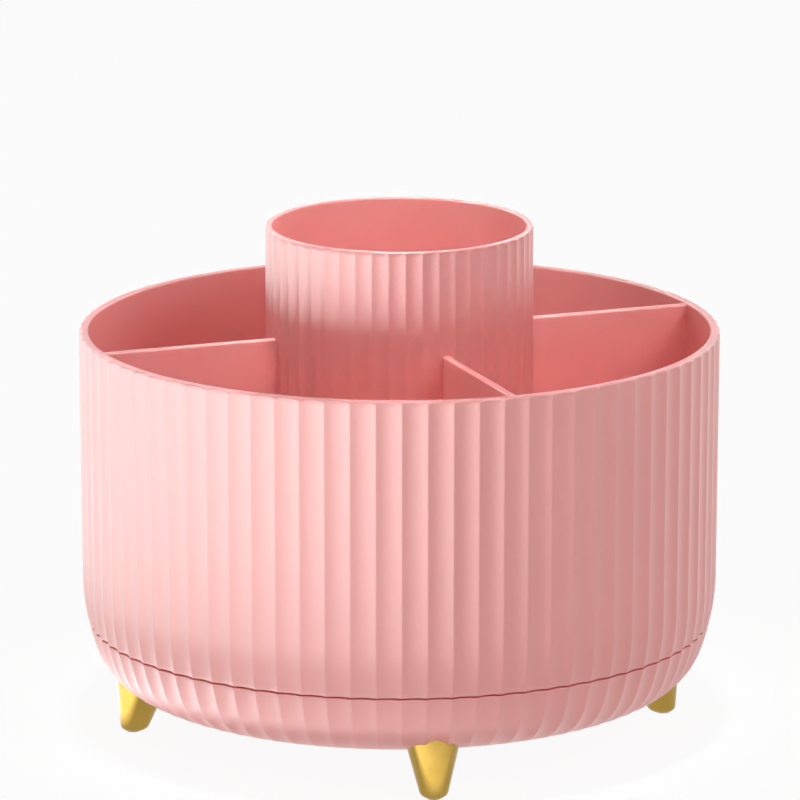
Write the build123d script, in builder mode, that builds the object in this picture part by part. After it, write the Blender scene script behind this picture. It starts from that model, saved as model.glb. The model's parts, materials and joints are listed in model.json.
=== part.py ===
from build123d import *
import math
import os

# Lengths are millimetres and angles degrees. The floor is z = 0 and the drum turns on Z.
# Bearings are counted round Z from +X. The dividers stand on the X and Y axes at rest.

# Whole organizer
DRUM_RIM_RADIUS = 105.0  # over the arrises between the flutes
DRUM_RIM_HEIGHT = 134.3
CUP_RIM_HEIGHT = 168.6
SEAM_HEIGHT = 36.7  # where the turning drum meets the standing bowl
SEAM_GAP = 0.5
UNDERSIDE_HEIGHT = 15.5  # flat underside of the bowl
OVERRUN = 2.0  # how far a cut runs past what it cuts

# Outer profile of drum and bowl: drafted wall, wide haunch, tight heel
WALL_DRAFT = 0.32
HAUNCH_RADIUS = 72.3
HAUNCH_TURN = 20.2
HEEL_RADIUS = 19.9
HEEL_SINK = 0.6  # the heel's arc would bottom out this far below the underside

# Flutes of drum and bowl: round hollows that meet in sharp arrises
FLUTE_COUNT = 80
FLUTE_DEPTH = 0.9
FLUTE_FADE_START = 40.0  # lean of the profile where the flutes start to fade out
FLUTE_FADE_END = 80.0
HAUNCH_STEPS = 3
HEEL_STEPS = 6

# Drum
DRUM_WALL = 3.2  # over the arrises at the rim
DRUM_INNER_DRAFT = 0.8
DRUM_FLOOR_THICKNESS = 2.6
DRUM_FLOOR_RISE = 4.05  # floor's underside above the drum's lower edge
DRUM_FLOOR_FILLET = 3.0
RIM_ROUND = 1.0
RIM_INNER_ROUND = 0.7
SKIRT_WALL = 2.3  # over the arrises at the seam

# Brush cup
CUP_RADIUS = 43.84  # over the arrises
CUP_FLUTE_COUNT = 50
CUP_FLUTE_DEPTH = 0.6
CUP_WALL = 2.3
CUP_INNER_DRAFT = 0.4
CUP_FLOOR_THICKNESS = 2.4
CUP_RECESS_DEPTH = 3.5
CUP_FOOT_RING = 3.4  # width of the ring that the cup stands on
CUP_FLOOR_FILLET = 3.0
CUP_RIM_ROUND = 0.8
CUP_SPIGOT_HEIGHT = 2.0
CUP_SPIGOT_WALL = 1.8
CUP_SPIGOT_CLEARANCE = 0.2
CUP_BOSS_RADIUS = 4.5
CUP_SCREW_CIRCLE_RADIUS = 28.0
CUP_SCREW_COUNT = 3
CUP_SCREW_BEARING = 30.0
CUP_SCREW_LENGTH = 7.4
CUP_SCREW_SHANK_RADIUS = 1.6
CUP_SCREW_HEAD_RADIUS = 3.2
CUP_SCREW_HEAD_HEIGHT = 2.0

# Dividers: panels seated in shallow grooves of wall, floor and cup
DIVIDER_THICKNESS = 2.6
DIVIDER_DROP = 0.4  # top edge below the drum's rim
DIVIDER_EDGE_ROUND = 0.6
GROOVE_DEPTH = 0.8
GROOVE_CLEARANCE = 0.12
DIVIDERS = {"divider_right": 0, "divider_back": 90, "divider_left": 180, "divider_front": 270}

# Ball bearing between bowl and drum
RACE_CIRCLE_RADIUS = 70.0
RACE_WIDTH = 12.0
RACE_THICKNESS = 4.0
RACE_GAP = 2.8
RACE_SPIGOT_WALL = 1.6
RACE_SPIGOT_HEIGHT = 2.0
RACE_SPIGOT_CLEARANCE = 0.15
RACE_RIB_WALL = 1.8
BALL_RADIUS = 3.0
BALL_COUNT = 12
BALL_CLEARANCE = 0.2
CAGE_WIDTH = 10.0
CAGE_THICKNESS = 1.8

# Pivot in the middle
POST_RADIUS = 7.0
POST_RUNNING_CLEARANCE = 0.06
POST_END_FLOAT = 0.5
POST_PILOT_DEPTH = 14.5
POST_ROOT_FILLET = 2.0
BUSH_WALL = 2.0
BUSH_SEAT_CLEARANCE = 0.05
BUSH_FLANGE_RADIUS = 12.0
BUSH_FLANGE_THICKNESS = 1.5
HUB_WALL = 3.0
HUB_HEIGHT = 17.0  # above the bowl's underside
WELL_RADIUS = 13.5
WELL_DEPTH = 7.0
WELL_WALL = 2.4
WELL_CEILING = 2.5
WASHER_RADIUS = 11.5
WASHER_THICKNESS = 1.6
PIVOT_SCREW_SHANK_RADIUS = 2.0
PIVOT_SCREW_LENGTH = 15.0
PIVOT_SCREW_HEAD_RADIUS = 4.5
PIVOT_SCREW_HEAD_HEIGHT = 3.0
SCREW_HOLE_CLEARANCE = 0.25
SCREW_BITE_CLEARANCE = 0.03
SCREW_HEAD_ROUND_SHARE = 0.4

# Bowl
BOWL_WALL = 4.0  # over the arrises
LIP_CLEARANCE = 0.4
LIP_HEIGHT = 2.9
LIP_ROOT = 1.5

# Feet: leaning cones cut to the bowl's flutes
FOOT_BEARING = -13.5  # three flutes round from a divider at rest
FOOT_INSET = 16.4  # from the rim's arrises to the soles' middles
FOOT_SOLE_RADIUS = 4.2
FOOT_TAPER = 14.5
FOOT_LEAN = 10.5
FOOT_SOLE_ROUND = 1.8
FOOT_BLANK_LENGTH = 24.0
FEET = {"right": 0, "back": 90, "left": 180, "front": 270}
FOOT_BOSS_RADIUS = 5.5
FOOT_BOSS_HEIGHT = 3.0
FOOT_SCREW_LENGTH = 14.0
FOOT_SCREW_SHANK_RADIUS = 1.7
FOOT_SCREW_HEAD_RADIUS = 3.6
FOOT_SCREW_HEAD_HEIGHT = 2.4
PAD_RADIUS = 2.4
PAD_THICKNESS = 1.1
PAD_PROUD = 0.3
PAD_CLEARANCE = 0.1

# Heights and radii that follow from the sizes above
haunch_end_slope = WALL_DRAFT + HAUNCH_TURN
heel_turn = 90 - haunch_end_slope
heel_bottom = UNDERSIDE_HEIGHT - HEEL_SINK
heel_drop = HEEL_RADIUS * (1 - math.sin(math.radians(haunch_end_slope)))
haunch_drop = HAUNCH_RADIUS * (
    math.sin(math.radians(haunch_end_slope)) - math.sin(math.radians(WALL_DRAFT))
)
haunch_top = heel_bottom + heel_drop + haunch_drop
drum_foot = SEAM_HEIGHT + SEAM_GAP / 2
bowl_top = SEAM_HEIGHT - SEAM_GAP / 2
drum_floor_underside = drum_foot + DRUM_FLOOR_RISE
drum_floor_top = drum_floor_underside + DRUM_FLOOR_THICKNESS
divider_top = DRUM_RIM_HEIGHT - DIVIDER_DROP
cup_floor_underside = drum_floor_top + CUP_RECESS_DEPTH
cup_floor_top = cup_floor_underside + CUP_FLOOR_THICKNESS
cup_groove_radius = CUP_RADIUS - CUP_FLUTE_DEPTH - GROOVE_DEPTH
upper_race_seat = drum_floor_underside
ball_height = upper_race_seat - RACE_THICKNESS - RACE_GAP / 2
lower_race_seat = ball_height - RACE_GAP / 2 - RACE_THICKNESS
race_inner_radius = RACE_CIRCLE_RADIUS - RACE_WIDTH / 2
race_outer_radius = RACE_CIRCLE_RADIUS + RACE_WIDTH / 2
race_spigot_radius = race_inner_radius - RACE_SPIGOT_CLEARANCE
bowl_floor = heel_bottom + BOWL_WALL
well_ceiling = UNDERSIDE_HEIGHT + WELL_DEPTH
hub_top = UNDERSIDE_HEIGHT + HUB_HEIGHT
bush_bore = POST_RADIUS + POST_RUNNING_CLEARANCE
bush_radius = bush_bore + BUSH_WALL
hub_bore = bush_radius + BUSH_SEAT_CLEARANCE
post_end = well_ceiling - POST_END_FLOAT
washer_bottom = post_end - WASHER_THICKNESS
foot_circle_radius = DRUM_RIM_RADIUS - FOOT_INSET
foot_shift = UNDERSIDE_HEIGHT * math.tan(math.radians(FOOT_LEAN))
foot_screw_radius = foot_circle_radius - foot_shift
foot_boss_top = bowl_floor + FOOT_BOSS_HEIGHT
turns = {name: FOOT_BEARING + bearing for name, bearing in FEET.items()}


def wall_radius(height, inset=0):
    """Radius of the drafted wall's line at a height, `inset` inside the arrises."""
    fall = DRUM_RIM_HEIGHT - height
    draft = math.radians(WALL_DRAFT)
    return DRUM_RIM_RADIUS - fall * math.tan(draft) - inset / math.cos(draft)


def haunch_radius(height, inset=0):
    """Radius of the haunch's arc at a height, `inset` inside the arrises."""
    draft = math.radians(WALL_DRAFT)
    centre_radius = wall_radius(haunch_top) - HAUNCH_RADIUS * math.cos(draft)
    centre_height = haunch_top + HAUNCH_RADIUS * math.sin(draft)
    reach = HAUNCH_RADIUS - inset
    return centre_radius + math.sqrt(reach**2 - (height - centre_height) ** 2)


def drum_inner_radius(height):
    """Radius of the drum's smooth inner wall at a height."""
    fall = DRUM_RIM_HEIGHT - height
    return DRUM_RIM_RADIUS - DRUM_WALL - fall * math.tan(math.radians(DRUM_INNER_DRAFT))


def profile_at(slope):
    """Radius and height where the outer profile leans `slope` degrees inwards from upright."""
    haunch_slope = math.radians(min(slope, haunch_end_slope))
    heel_slope = math.radians(max(slope, haunch_end_slope))
    draft, bend = math.radians(WALL_DRAFT), math.radians(haunch_end_slope)
    run = HAUNCH_RADIUS * (math.cos(draft) - math.cos(haunch_slope))
    run += HEEL_RADIUS * (math.cos(bend) - math.cos(heel_slope))
    fall = HAUNCH_RADIUS * (math.sin(haunch_slope) - math.sin(draft))
    fall += HEEL_RADIUS * (math.sin(heel_slope) - math.sin(bend))
    return wall_radius(haunch_top) - run, haunch_top - fall


def haunch_slope_at(height):
    """Slope of the haunch at a height."""
    rise = (haunch_top - height) / HAUNCH_RADIUS
    return math.degrees(math.asin(math.sin(math.radians(WALL_DRAFT)) + rise))


def flute_depth_at(slope):
    """Depth of a flute, level with the floor: half a cosine wave fades it out as the heel turns under."""
    fade_share = (slope - FLUTE_FADE_START) / (FLUTE_FADE_END - FLUTE_FADE_START)
    fade_share = min(max(fade_share, 0), 1)
    depth = FLUTE_DEPTH * (1 + math.cos(math.pi * fade_share)) / 2
    return depth / math.cos(math.radians(slope))


def fluted_outline(radius, count, depth, phase=0):
    """A face of round hollows that meet on a circle, the first hollow at bearing `phase`."""
    pitch = 360 / count
    with BuildLine() as hollows:
        for index in range(count):
            middle = phase + index * pitch
            ThreePointArc(
                Vector(radius, 0).rotate(Axis.Z, middle - pitch / 2),
                Vector(radius - depth, 0).rotate(Axis.Z, middle),
                Vector(radius, 0).rotate(Axis.Z, middle + pitch / 2),
            )
    make_face(hollows.edges())


def rim_steps(radius_at, rim_height, rounding):
    """Radius and height of the outlines that round a rim over, from below upwards."""
    steps = []
    for angle in (0, 45, 90):
        inset = rounding * (1 - math.cos(math.radians(angle)))
        height = rim_height - rounding * (1 - math.sin(math.radians(angle)))
        steps.append((radius_at(height) - inset, height))
    return steps


def fluted_wall(outlines, count, depth, phase=0):
    """A straight fluted wall through outlines given as radius and height."""
    sections = []
    for radius, height in outlines:
        with BuildSketch(Plane.XY.offset(height)) as section:
            fluted_outline(radius, count, depth, phase)
        sections.append(section.sketch)
    loft(sections, ruled=True)


def fluted_loft(first_slope, last_slope, steps):
    """The fluted solid between two slopes of the profile, put into the part that is open."""
    sections = []
    for step in range(steps + 1):
        slope = first_slope + (last_slope - first_slope) * step / steps
        radius, height = profile_at(slope)
        with BuildSketch(Plane.XY.offset(height)) as section:
            fluted_outline(radius, FLUTE_COUNT, flute_depth_at(slope))
        sections.append(section.sketch)
    loft(sections)


def bowl_cavity(inset):
    """The bowl's inside, which keeps `inset` from the arrises, as a face that is open upwards."""
    draft = math.radians(WALL_DRAFT)
    start = DRUM_RIM_HEIGHT
    bend = (
        wall_radius(haunch_top) - inset * math.cos(draft),
        haunch_top + inset * math.sin(draft),
    )
    with BuildLine() as outline:
        wall = Line((wall_radius(start, inset), start), bend)
        haunch = JernArc(wall @ 1, wall % 1, HAUNCH_RADIUS - inset, -HAUNCH_TURN)
        heel = JernArc(haunch @ 1, haunch % 1, HEEL_RADIUS - inset, -heel_turn)
        Polyline(heel @ 1, (0, (heel @ 1).Y), (0, start), wall @ 0)
    make_face(outline.edges())


def ring(inner_radius, outer_radius, bottom, top, mode=Mode.ADD):
    """A flat ring round Z between two heights, put into the part that is open."""
    with BuildSketch(Plane.XY.offset(bottom)) as outline:
        Circle(outer_radius)
        if inner_radius > 0:
            Circle(inner_radius, mode=Mode.SUBTRACT)
    extrude(outline.sketch, amount=top - bottom, mode=mode)


def pan_screw(shank_radius, length, head_radius, head_height):
    """A pan-head screw on Z with its head seated on z = 0 and its shank upwards."""
    with BuildPart() as screw:
        ring(0, shank_radius, 0, length)
        ring(0, head_radius, -head_height, 0)
        under_head = screw.edges().filter_by(GeomType.CIRCLE).group_by(Axis.Z)[0]
        fillet(under_head, radius=head_height * SCREW_HEAD_ROUND_SHARE)
    return screw.part


# Drum: fluted wall, floor with the pivot post below it, grooves for the dividers
with BuildPart() as drum:
    outlines = [(wall_radius(haunch_top), haunch_top)]
    outlines += rim_steps(wall_radius, DRUM_RIM_HEIGHT, RIM_ROUND)
    fluted_wall(outlines, FLUTE_COUNT, flute_depth_at(WALL_DRAFT))
    fluted_loft(WALL_DRAFT, haunch_slope_at(drum_foot), HAUNCH_STEPS)
    # Inside of the pot
    with BuildSketch(Plane.XZ) as drum_inside:
        mouth = DRUM_RIM_HEIGHT + OVERRUN
        with BuildLine():
            Polyline(
                (0, drum_floor_top),
                (drum_inner_radius(drum_floor_top), drum_floor_top),
                (drum_inner_radius(mouth), mouth),
                (0, mouth),
                close=True,
            )
        make_face()
        floor_corner = drum_inside.vertices().group_by(Axis.Y)[0].sort_by(Axis.X)[-1]
        fillet(floor_corner, radius=DRUM_FLOOR_FILLET)
    revolve(axis=Axis.Z, mode=Mode.SUBTRACT)
    rim_edges = drum.edges().filter_by(GeomType.CIRCLE).group_by(Axis.Z)[-1]
    fillet(rim_edges.group_by(SortBy.RADIUS)[0], radius=RIM_INNER_ROUND)
    # Hollow under the floor, inside the skirt
    skirt_inner_radius = haunch_radius(drum_foot) - SKIRT_WALL
    ring(0, skirt_inner_radius, drum_foot, drum_floor_underside, Mode.SUBTRACT)
    # Spigot that centres the cup, spigot that centres the upper race, pivot post
    cup_spigot_radius = CUP_RADIUS - CUP_FOOT_RING - CUP_SPIGOT_CLEARANCE
    ring(
        cup_spigot_radius - CUP_SPIGOT_WALL,
        cup_spigot_radius,
        drum_floor_top,
        drum_floor_top + CUP_SPIGOT_HEIGHT,
    )
    ring(
        race_spigot_radius - RACE_SPIGOT_WALL,
        race_spigot_radius,
        drum_floor_underside - RACE_SPIGOT_HEIGHT,
        drum_floor_underside,
    )
    ring(0, POST_RADIUS, post_end, drum_floor_underside)
    post_root = drum.edges().filter_by(GeomType.CIRCLE).filter_by_position(
        Axis.Z, drum_floor_underside, drum_floor_underside
    )
    fillet(post_root.sort_by(SortBy.RADIUS)[0], radius=POST_ROOT_FILLET)
    pilot_radius = PIVOT_SCREW_SHANK_RADIUS + SCREW_BITE_CLEARANCE
    ring(0, pilot_radius, post_end, post_end + POST_PILOT_DEPTH, Mode.SUBTRACT)
    # Grooves for the dividers, down the wall and across the floor
    groove_width = DIVIDER_THICKNESS + 2 * GROOVE_CLEARANCE
    with BuildSketch(Plane.XZ):
        groove_floor = drum_floor_top - GROOVE_DEPTH
        with BuildLine():
            Polyline(
                (cup_groove_radius, groove_floor),
                (drum_inner_radius(groove_floor) + GROOVE_DEPTH, groove_floor),
                (drum_inner_radius(mouth) + GROOVE_DEPTH, mouth),
                (cup_groove_radius, mouth),
                close=True,
            )
        make_face()
    groove = extrude(amount=groove_width / 2, both=True, mode=Mode.PRIVATE)
    with PolarLocations(0, len(DIVIDERS)):
        add(groove, mode=Mode.SUBTRACT)
    # Holes for the cup's screws
    with Locations(Plane.XY.offset(drum_floor_top)):
        with PolarLocations(CUP_SCREW_CIRCLE_RADIUS, CUP_SCREW_COUNT, CUP_SCREW_BEARING):
            Hole(CUP_SCREW_SHANK_RADIUS + SCREW_HOLE_CLEARANCE, depth=DRUM_FLOOR_THICKNESS)

# Brush cup: fluted outside, smooth inside, on a foot ring with three screw bosses
with BuildPart() as brush_cup:
    outlines = [(CUP_RADIUS, drum_floor_top)]
    outlines += rim_steps(lambda height: CUP_RADIUS, CUP_RIM_HEIGHT, CUP_RIM_ROUND)
    half_pitch = 180 / CUP_FLUTE_COUNT
    fluted_wall(outlines, CUP_FLUTE_COUNT, CUP_FLUTE_DEPTH, half_pitch)
    # Inside of the cup
    cup_depth = CUP_RIM_HEIGHT - cup_floor_top
    with BuildSketch(Plane.XZ) as cup_inside:
        cup_mouth = CUP_RIM_HEIGHT + OVERRUN
        lean = math.tan(math.radians(CUP_INNER_DRAFT))
        cup_bore = CUP_RADIUS - CUP_WALL
        with BuildLine():
            Polyline(
                (0, cup_floor_top),
                (cup_bore - cup_depth * lean, cup_floor_top),
                (cup_bore + OVERRUN * lean, cup_mouth),
                (0, cup_mouth),
                close=True,
            )
        make_face()
        floor_corner = cup_inside.vertices().group_by(Axis.Y)[0].sort_by(Axis.X)[-1]
        fillet(floor_corner, radius=CUP_FLOOR_FILLET)
    revolve(axis=Axis.Z, mode=Mode.SUBTRACT)
    # Recess inside the foot ring, screw bosses in it
    ring(0, CUP_RADIUS - CUP_FOOT_RING, drum_floor_top, cup_floor_underside, Mode.SUBTRACT)
    with BuildSketch(Plane.XY.offset(drum_floor_top)):
        with PolarLocations(CUP_SCREW_CIRCLE_RADIUS, CUP_SCREW_COUNT, CUP_SCREW_BEARING):
            Circle(CUP_BOSS_RADIUS)
    extrude(amount=CUP_RECESS_DEPTH)
    cup_screw_reach = CUP_SCREW_LENGTH - DRUM_FLOOR_THICKNESS
    with BuildSketch(Plane.XY.offset(drum_floor_top)):
        with PolarLocations(CUP_SCREW_CIRCLE_RADIUS, CUP_SCREW_COUNT, CUP_SCREW_BEARING):
            Circle(CUP_SCREW_SHANK_RADIUS + SCREW_BITE_CLEARANCE)
    extrude(amount=cup_screw_reach, mode=Mode.SUBTRACT)
    # Grooves that slide down over the dividers' inner edges
    with BuildSketch(Plane.XY.offset(drum_floor_top)):
        with PolarLocations(cup_groove_radius, len(DIVIDERS)):
            Rectangle(
                CUP_FOOT_RING,
                groove_width,
                align=(Align.MIN, Align.CENTER),
            )
    groove_height = divider_top + GROOVE_CLEARANCE - drum_floor_top
    extrude(amount=groove_height, mode=Mode.SUBTRACT)

# Divider panel, modelled along +X
with BuildPart() as divider_panel:
    with BuildSketch(Plane.XZ):
        panel_bottom = drum_floor_top - GROOVE_DEPTH
        panel_inner = cup_groove_radius + GROOVE_CLEARANCE
        panel_reach = GROOVE_DEPTH - GROOVE_CLEARANCE
        with BuildLine():
            Polyline(
                (panel_inner, panel_bottom),
                (drum_inner_radius(panel_bottom) + panel_reach, panel_bottom),
                (drum_inner_radius(divider_top) + panel_reach, divider_top),
                (panel_inner, divider_top),
                close=True,
            )
        make_face()
    extrude(amount=DIVIDER_THICKNESS / 2, both=True)
    top_edges = divider_panel.edges().group_by(Axis.Z)[-1].filter_by(Axis.X)
    fillet(top_edges, radius=DIVIDER_EDGE_ROUND)

# Upper race, under the drum's floor
with BuildPart() as upper_race:
    ring(race_inner_radius, race_outer_radius, upper_race_seat - RACE_THICKNESS, upper_race_seat)
    with BuildSketch(Plane.XZ):
        with Locations((RACE_CIRCLE_RADIUS, ball_height)):
            Circle(BALL_RADIUS + BALL_CLEARANCE)
    revolve(axis=Axis.Z, mode=Mode.SUBTRACT)

# Lower race, on the bowl's ribs
with BuildPart() as lower_race:
    ring(race_inner_radius, race_outer_radius, lower_race_seat, lower_race_seat + RACE_THICKNESS)
    with BuildSketch(Plane.XZ):
        with Locations((RACE_CIRCLE_RADIUS, ball_height)):
            Circle(BALL_RADIUS + BALL_CLEARANCE)
    revolve(axis=Axis.Z, mode=Mode.SUBTRACT)

# Cage that spaces the balls
with BuildPart() as ball_cage:
    cage_inner_radius = RACE_CIRCLE_RADIUS - CAGE_WIDTH / 2
    cage_outer_radius = RACE_CIRCLE_RADIUS + CAGE_WIDTH / 2
    cage_bottom = ball_height - CAGE_THICKNESS / 2
    ring(cage_inner_radius, cage_outer_radius, cage_bottom, cage_bottom + CAGE_THICKNESS)
    with BuildSketch(Plane.XY.offset(cage_bottom)):
        with PolarLocations(RACE_CIRCLE_RADIUS, BALL_COUNT):
            Circle(BALL_RADIUS + BALL_CLEARANCE)
    extrude(amount=CAGE_THICKNESS, mode=Mode.SUBTRACT)

# Balls
with BuildPart() as bearing_balls:
    with Locations((0, 0, ball_height)):
        with PolarLocations(RACE_CIRCLE_RADIUS, BALL_COUNT):
            Sphere(BALL_RADIUS)

# Bowl's outer form as a solid, which also trims the feet
with BuildPart() as bowl_blank:
    underside_slope = math.degrees(math.asin(1 - HEEL_SINK / HEEL_RADIUS))
    fluted_loft(haunch_slope_at(bowl_top), haunch_end_slope, HAUNCH_STEPS)
    fluted_loft(haunch_end_slope, underside_slope, HEEL_STEPS)

# Bowl: fluted shell with a lip inside the seam, race ribs, hub and foot bosses
with BuildPart() as base_bowl:
    add(bowl_blank.part)
    with BuildSketch(Plane.XZ):
        bowl_cavity(BOWL_WALL)
    revolve(axis=Axis.Z, mode=Mode.SUBTRACT)
    ring(
        haunch_radius(bowl_top, BOWL_WALL),
        skirt_inner_radius - LIP_CLEARANCE,
        bowl_top - LIP_ROOT,
        bowl_top + LIP_HEIGHT,
    )
    # Two ribs under the lower race, the inner one with a spigot that centres it
    ring(race_inner_radius, race_inner_radius + RACE_RIB_WALL, bowl_floor, lower_race_seat)
    ring(race_outer_radius - RACE_RIB_WALL, race_outer_radius, bowl_floor, lower_race_seat)
    ring(
        race_spigot_radius - RACE_SPIGOT_WALL,
        race_spigot_radius,
        bowl_floor,
        lower_race_seat + RACE_SPIGOT_HEIGHT,
    )
    ring(race_spigot_radius, race_inner_radius, bowl_floor, lower_race_seat)
    # Hub for the bush, over a well for the washer and the screw's head
    ring(0, WELL_RADIUS + WELL_WALL, bowl_floor, well_ceiling + WELL_CEILING)
    ring(0, hub_bore + HUB_WALL, well_ceiling, hub_top)
    ring(0, WELL_RADIUS, UNDERSIDE_HEIGHT, well_ceiling, Mode.SUBTRACT)
    ring(0, hub_bore, well_ceiling, hub_top, Mode.SUBTRACT)
    # Bosses over the feet, with their screw holes
    with BuildSketch(Plane.XY.offset(bowl_floor)):
        with PolarLocations(foot_screw_radius, len(FEET), FOOT_BEARING):
            Circle(FOOT_BOSS_RADIUS)
    extrude(amount=FOOT_BOSS_HEIGHT)
    with BuildSketch(Plane.XY.offset(foot_boss_top)):
        with PolarLocations(foot_screw_radius, len(FEET), FOOT_BEARING):
            Circle(FOOT_SCREW_SHANK_RADIUS + SCREW_HOLE_CLEARANCE)
    extrude(amount=UNDERSIDE_HEIGHT - foot_boss_top, mode=Mode.SUBTRACT)

# Bush that the post turns in
with BuildPart() as pivot_bush:
    ring(0, bush_radius, well_ceiling, hub_top)
    ring(0, BUSH_FLANGE_RADIUS, hub_top, hub_top + BUSH_FLANGE_THICKNESS)
    ring(0, bush_bore, well_ceiling, hub_top + BUSH_FLANGE_THICKNESS, Mode.SUBTRACT)

# Washer that holds the drum down
with BuildPart() as pivot_washer:
    washer_bore = PIVOT_SCREW_SHANK_RADIUS + SCREW_HOLE_CLEARANCE
    ring(washer_bore, WASHER_RADIUS, washer_bottom, post_end)

# Screws: one in the pivot, three under the cup, one through each foot boss
centre_screw = pan_screw(
    PIVOT_SCREW_SHANK_RADIUS, PIVOT_SCREW_LENGTH, PIVOT_SCREW_HEAD_RADIUS, PIVOT_SCREW_HEAD_HEIGHT
)
with BuildPart() as pivot_screw:
    with Locations((0, 0, washer_bottom)):
        add(centre_screw)

cup_screw = pan_screw(
    CUP_SCREW_SHANK_RADIUS, CUP_SCREW_LENGTH, CUP_SCREW_HEAD_RADIUS, CUP_SCREW_HEAD_HEIGHT
)
with BuildPart() as cup_screws:
    with Locations((0, 0, drum_floor_underside)):
        with PolarLocations(CUP_SCREW_CIRCLE_RADIUS, CUP_SCREW_COUNT, CUP_SCREW_BEARING):
            add(cup_screw)

foot_screw = pan_screw(
    FOOT_SCREW_SHANK_RADIUS, FOOT_SCREW_LENGTH, FOOT_SCREW_HEAD_RADIUS, FOOT_SCREW_HEAD_HEIGHT
)
with BuildPart() as foot_screws:
    with Locations((0, 0, foot_boss_top)):
        with PolarLocations(foot_screw_radius, len(FEET), FOOT_BEARING):
            add(foot_screw, rotation=(180, 0, 0))

# One foot along +X: a leaning cone, cut to the fluted bowl, with a pad's recess in its sole
lean_angle = math.radians(FOOT_LEAN)
foot_axis = Vector(-math.sin(lean_angle), 0, math.cos(lean_angle))
sole_drop = (FOOT_SOLE_RADIUS + OVERRUN) * math.sin(lean_angle)
blank_start = Vector(foot_circle_radius, 0, 0) - foot_axis * sole_drop
blank_radius = FOOT_SOLE_RADIUS - sole_drop * math.tan(math.radians(FOOT_TAPER))
with BuildPart() as foot_cone:
    with BuildSketch(Plane(origin=blank_start, x_dir=(0, 1, 0), z_dir=foot_axis)):
        Circle(blank_radius)
    extrude(amount=FOOT_BLANK_LENGTH, taper=-FOOT_TAPER)
    split(bisect_by=Plane.XY.offset(PAD_PROUD), keep=Keep.TOP)
    sole_edges = foot_cone.edges().group_by(Axis.Z)[0]
    fillet(sole_edges, radius=FOOT_SOLE_ROUND)
    add(bowl_blank.part, mode=Mode.SUBTRACT)
    with BuildSketch(Plane.XY.offset(PAD_PROUD)):
        with Locations((foot_circle_radius, 0)):
            Circle(PAD_RADIUS + PAD_CLEARANCE)
    extrude(amount=PAD_THICKNESS - PAD_PROUD, mode=Mode.SUBTRACT)
    with BuildSketch(Plane.XY.offset(foot_boss_top)):
        with Locations((foot_screw_radius, 0)):
            Circle(FOOT_SCREW_SHANK_RADIUS + SCREW_BITE_CLEARANCE)
    extrude(amount=-FOOT_SCREW_LENGTH, mode=Mode.SUBTRACT)

# One soft pad along +X
with BuildPart() as sole_pad:
    with BuildSketch():
        with Locations((foot_circle_radius, 0)):
            Circle(PAD_RADIUS)
    extrude(amount=PAD_THICKNESS)

pieces = {
    "drum": drum.part,
    "brush_cup": brush_cup.part,
    "cup_screws": cup_screws.part,
    "upper_race": upper_race.part,
    "lower_race": lower_race.part,
    "ball_cage": ball_cage.part,
    "bearing_balls": bearing_balls.part,
    "base_bowl": base_bowl.part,
    "pivot_bush": pivot_bush.part,
    "pivot_washer": pivot_washer.part,
    "pivot_screw": pivot_screw.part,
    "foot_screws": foot_screws.part,
}
for name, bearing in DIVIDERS.items():
    with BuildPart() as divider:
        add(divider_panel.part, rotation=(0, 0, bearing))
    pieces[name] = divider.part
for name, bearing in turns.items():
    with BuildPart() as foot:
        add(foot_cone.part, rotation=(0, 0, bearing))
    pieces[f"foot_{name}"] = foot.part
    with BuildPart() as pad:
        add(sole_pad.part, rotation=(0, 0, bearing))
    pieces[f"foot_pad_{name}"] = pad.part

os.makedirs("parts", exist_ok=True)
for name, piece in pieces.items():
    piece.label = name
    export_step(piece, f"parts/{name}.step")
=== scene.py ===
# %% [markdown]
# # A rotating makeup organizer
# The object is a round pink pot with fluted walls. It is split into four compartments round a tall brush
# cup, and it turns on a ball bearing over a bowl that stands on four gold feet. The construction comes
# ready made as a fixed frame, in metres. This lesson adds the finer surfaces and the finishes.

# %% Load the frame
import json
import math

import bpy
import numpy as np
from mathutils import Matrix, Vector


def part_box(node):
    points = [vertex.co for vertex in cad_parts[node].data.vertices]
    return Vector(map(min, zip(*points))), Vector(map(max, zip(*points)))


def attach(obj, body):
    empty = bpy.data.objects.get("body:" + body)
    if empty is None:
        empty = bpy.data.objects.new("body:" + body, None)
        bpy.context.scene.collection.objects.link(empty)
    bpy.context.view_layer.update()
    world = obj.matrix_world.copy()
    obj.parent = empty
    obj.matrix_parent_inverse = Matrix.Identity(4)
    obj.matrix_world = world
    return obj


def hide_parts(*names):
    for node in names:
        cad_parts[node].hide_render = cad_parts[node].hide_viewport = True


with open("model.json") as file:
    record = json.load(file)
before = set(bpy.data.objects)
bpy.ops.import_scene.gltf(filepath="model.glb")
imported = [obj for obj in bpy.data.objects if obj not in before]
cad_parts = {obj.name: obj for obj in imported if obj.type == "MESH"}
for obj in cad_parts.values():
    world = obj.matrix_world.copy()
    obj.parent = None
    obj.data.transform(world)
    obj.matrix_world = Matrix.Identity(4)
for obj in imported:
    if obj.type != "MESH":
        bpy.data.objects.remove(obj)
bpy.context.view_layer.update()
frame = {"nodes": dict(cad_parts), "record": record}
print("nodes in the frame:", len(frame["nodes"]))

# %% [markdown]
# ## The camera
# The camera comes first, because each later choice is judged through it. It stands a little over two metres
# away, left of the front divider, and looks down by about fourteen degrees. The long lens keeps the upright
# walls almost parallel, as in a catalogue picture.

# %% Camera
CAMERA_AZIMUTH = math.radians(-20.7)
CAMERA_PITCH = math.radians(13.608)
CAMERA_DISTANCE = 2.19384
CAMERA_HEIGHT = 0.64062
CAMERA_LENS = 309.36
CAMERA_SENSOR = 36.0
CAMERA_SHIFT = 0.000875


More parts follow.
